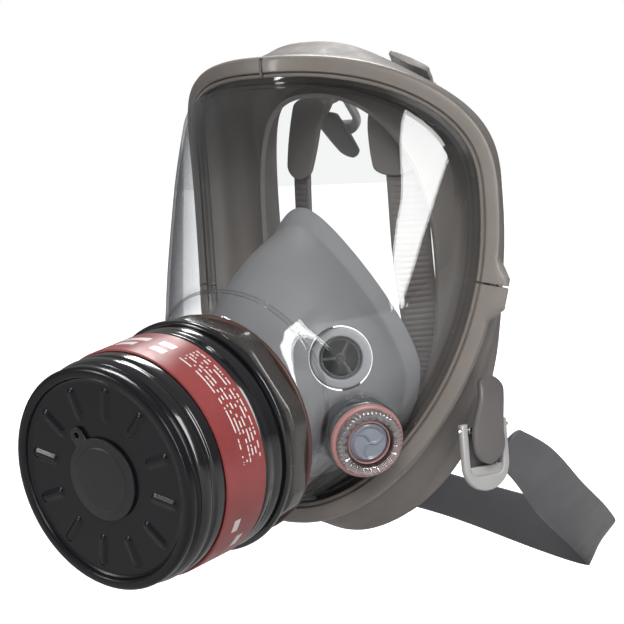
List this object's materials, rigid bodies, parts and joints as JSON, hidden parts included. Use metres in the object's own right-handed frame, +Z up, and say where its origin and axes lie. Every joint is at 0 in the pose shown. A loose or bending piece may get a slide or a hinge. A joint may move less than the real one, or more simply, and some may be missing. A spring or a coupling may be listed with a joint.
{
  "type": "full face respirator",
  "caption": "Full face respirator with a wrap-around clear lens, grey frame and face seal, inner nose cup, side valves, rubber head harness and a screw-on canister.",
  "frame": {"origin": "middle of the face opening, on the plane of symmetry, level with the wearer's nose bridge", "axes": "+Z up as worn, -Y the way the wearer looks, +X to the wearer's left"},
  "size_m": [0.1872, 0.3506, 0.2851],
  "materials": {
    "clear_polycarbonate": "polished",
    "taupe_frame": "satin",
    "grey_elastomer": "satin",
    "nose_cup_rubber": "satin",
    "valve_grey": "satin",
    "black_enamel": "gloss",
    "black_rubber": "satin",
    "red_label": "satin",
    "rose_silicone": "satin",
    "brown_gasket": "satin",
    "strap_rubber": "satin",
    "buckle_grey": "satin",
    "bright_metal": "polished",
    "carbon_granules": "matte",
    "filter_paper": "matte"
  },
  "bodies": {
    "facepiece": {"adapter_body": "taupe_frame", "adapter_gasket": "brown_gasket", "adapter_nut": "taupe_frame", "adapter_spider": "valve_grey", "face_seal": "grey_elastomer", "frame_screw_left": "bright_metal", "frame_screw_right": "bright_metal", "inhale_retainer_left": "valve_grey", "inhale_retainer_right": "valve_grey", "inhale_seat_left": "valve_grey", "inhale_seat_right": "valve_grey", "inhale_spider_left": "valve_grey", "inhale_spider_right": "valve_grey", "lens": "clear_polycarbonate", "lower_frame": "taupe_frame", "lug_lower_left": "grey_elastomer", "lug_lower_right": "grey_elastomer", "lug_upper_left": "grey_elastomer", "lug_upper_right": "grey_elastomer", "neck_strap": "strap_rubber", "nose_cup": "nose_cup_rubber", "roller_lower_left": "bright_metal", "roller_lower_right": "bright_metal", "roller_upper_left": "bright_metal", "roller_upper_right": "bright_metal", "side_port_left": "clear_polycarbonate", "side_port_right": "clear_polycarbonate", "side_seal_left": "rose_silicone", "side_seal_right": "rose_silicone", "side_seat_left": "valve_grey", "side_seat_right": "valve_grey", "strap_pad_left": "strap_rubber", "strap_pad_right": "strap_rubber", "strap_tail_left": "strap_rubber", "strap_tail_right": "strap_rubber", "upper_frame": "taupe_frame", "upper_strap_left": "strap_rubber", "upper_strap_right": "strap_rubber"},
    "canister_washer": {"canister_washer": "brown_gasket"},
    "canister": {"canister_shell": "black_enamel", "canister_lid": "black_enamel", "canister_base": "black_enamel", "canister_label": "red_label", "carbon_bed": "carbon_granules", "front_screen": "bright_metal", "rear_screen": "bright_metal", "particle_filter": "filter_paper"},
    "canister_plug": {"canister_plug": "black_rubber"},
    "adapter_flap": {"adapter_flap": "rose_silicone"},
    "side_cover_left": {"side_cover_left": "clear_polycarbonate"},
    "exhale_disc_left": {"exhale_disc_left": "rose_silicone"},
    "inhale_flap_left": {"inhale_flap_left": "rose_silicone"},
    "buckle_upper_left": {"buckle_upper_left": "buckle_grey"},
    "buckle_lower_left": {"buckle_lower_left": "buckle_grey"},
    "side_cover_right": {"side_cover_right": "clear_polycarbonate"},
    "exhale_disc_right": {"exhale_disc_right": "rose_silicone"},
    "inhale_flap_right": {"inhale_flap_right": "rose_silicone"},
    "buckle_upper_right": {"buckle_upper_right": "buckle_grey"},
    "buckle_lower_right": {"buckle_lower_right": "buckle_grey"}
  },
  "joints": [
    {"name": "canister_travel", "type": "slide", "parent": "facepiece", "child": "canister_washer", "axis": [0, -0.9914, -0.1305], "range_m": [0, 0.0109]},
    {"name": "canister_turn", "type": "hinge", "parent": "canister_washer", "child": "canister", "pos_m": [0, -0.118, -0.064], "axis": [0, -0.9914, -0.1305], "range_deg": [0, 1080]},
    {"name": "plug_pull", "type": "slide", "parent": "canister", "child": "canister_plug", "axis": [0, -0.9914, -0.1305], "range_m": [0, 0.02]},
    {"name": "adapter_flap_lift", "type": "slide", "parent": "facepiece", "child": "adapter_flap", "axis": [0, 0.9914, 0.1305], "range_m": [0, 0.0025], "stiffness_N_per_m": 20, "springref_m": -0.002},
    {"name": "side_cover_turn_left", "type": "hinge", "parent": "facepiece", "child": "side_cover_left", "pos_m": [0.046, -0.001, -0.062], "axis": [0.8233, -0.5346, -0.1908], "range_deg": [0, 45]},
    {"name": "exhale_lift_left", "type": "slide", "parent": "facepiece", "child": "exhale_disc_left", "axis": [0.8233, -0.5346, -0.1908], "range_m": [0, 0.003], "stiffness_N_per_m": 20, "springref_m": -0.002},
    {"name": "inhale_lift_left", "type": "slide", "parent": "facepiece", "child": "inhale_flap_left", "axis": [-0.6641, 0.7376, -0.1219], "range_m": [0, 0.002], "stiffness_N_per_m": 20, "springref_m": -0.002},
    {"name": "upper_buckle_tilt_left", "type": "hinge", "parent": "facepiece", "child": "buckle_upper_left", "pos_m": [0.027, 0.086, 0.085], "axis": [1, 0, 0], "range_deg": [0, 35]},
    {"name": "lower_buckle_tilt_left", "type": "hinge", "parent": "facepiece", "child": "buckle_lower_left", "pos_m": [0.073, 0.056, -0.069], "axis": [-0.3401, -0.9404, 0], "range_deg": [0, 35]},
    {"name": "side_cover_turn_right", "type": "hinge", "parent": "facepiece", "child": "side_cover_right", "pos_m": [-0.046, -0.001, -0.062], "axis": [-0.8233, -0.5346, -0.1908], "range_deg": [0, 45]},
    {"name": "exhale_lift_right", "type": "slide", "parent": "facepiece", "child": "exhale_disc_right", "axis": [-0.8233, -0.5346, -0.1908], "range_m": [0, 0.003], "stiffness_N_per_m": 20, "springref_m": -0.002},
    {"name": "inhale_lift_right", "type": "slide", "parent": "facepiece", "child": "inhale_flap_right", "axis": [0.6641, 0.7376, -0.1219], "range_m": [0, 0.002], "stiffness_N_per_m": 20, "springref_m": -0.002},
    {"name": "upper_buckle_tilt_right", "type": "hinge", "parent": "facepiece", "child": "buckle_upper_right", "pos_m": [-0.027, 0.086, 0.085], "axis": [1, 0, 0], "range_deg": [0, 35]},
    {"name": "lower_buckle_tilt_right", "type": "hinge", "parent": "facepiece", "child": "buckle_lower_right", "pos_m": [-0.073, 0.056, -0.069], "axis": [-0.3401, 0.9404, 0], "range_deg": [0, 35]}
  ],
  "couplings": [
    {"joint": "canister_travel", "follows": "canister_turn", "m_per_rad": 0.00057774}
  ]
}
